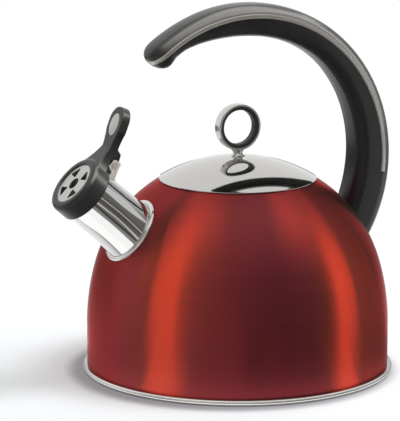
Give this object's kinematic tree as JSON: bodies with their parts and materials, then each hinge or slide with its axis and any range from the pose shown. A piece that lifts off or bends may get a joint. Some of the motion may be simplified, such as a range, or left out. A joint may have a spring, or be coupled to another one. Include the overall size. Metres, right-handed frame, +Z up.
{
  "type": "stovetop whistling kettle",
  "caption": "Domed stovetop kettle with a short slanted spout, a sprung whistle cap with a thumb lever, a lift-off lid with a ring knob and an open C-shaped handle over the top.",
  "frame": {"origin": "centre of the flat base, on the hob's surface", "axes": "+Z up; -X towards the spout and +X towards the standing end of the handle; the kettle is symmetric about the plane Y = 0"},
  "size_m": [0.2588, 0.22, 0.2602],
  "materials": {
    "body_red": "translucent red lacquer over circumferentially brushed steel, satin gloss",
    "rim_steel": "satin, brushed around the axis",
    "spreader_aluminium": "plain rolled",
    "base_steel": "satin, turned",
    "spout_steel": "polished",
    "collar_steel": "polished bead",
    "bracket_steel": "polished sheet",
    "fastener_steel": "plain",
    "black_plastic": "fine satin grain",
    "whistle_steel": "satin",
    "trim_steel": "polished",
    "lid_steel": "mirror polished",
    "knob_steel": "polished",
    "liner_rubber": "smooth silicone",
    "strap_steel": "plain rolled strip"
  },
  "bodies": {
    "kettle": {"body_wall": "body_red", "body_shoulder": "body_red", "body_crown": "body_red", "bottom_plate": "rim_steel", "heat_spreader": "spreader_aluminium", "base_cap": "base_steel", "spout_tube": "spout_steel", "spout_collar": "collar_steel", "hinge_bracket": "bracket_steel", "hinge_pin": "fastener_steel", "torsion_spring": "fastener_steel", "handle_bracket": "strap_steel", "handle_strap": "strap_steel", "strap_rivets": "fastener_steel", "handle_outer_shell": "black_plastic", "handle_inner_shell": "black_plastic", "handle_trim": "trim_steel", "handle_screws": "fastener_steel", "screw_plugs": "black_plastic"},
    "whistle_cap": {"cap_housing": "black_plastic", "face_plate": "whistle_steel", "whistle_cup": "whistle_steel", "lever_inlay": "trim_steel"},
    "lid": {"lid_dome": "lid_steel", "lid_skirt": "lid_steel", "knob_ring": "knob_steel", "knob_liner": "liner_rubber", "knob_screw": "fastener_steel", "knob_washer": "fastener_steel"}
  },
  "joints": [
    {"name": "whistle_hinge", "type": "hinge", "parent": "kettle", "child": "whistle_cap", "pos_m": [-0.09795, 0, 0.1546], "axis": [0, 1, 0], "range_deg": [0, 50], "stiffness_Nm_per_rad": 0.06, "springref_deg": -45.84, "deforming": ["torsion_spring"]},
    {"name": "lid_lift", "type": "slide", "parent": "kettle", "child": "lid", "axis": [0, 0, 1], "range_m": [0, 0.04]}
  ]
}
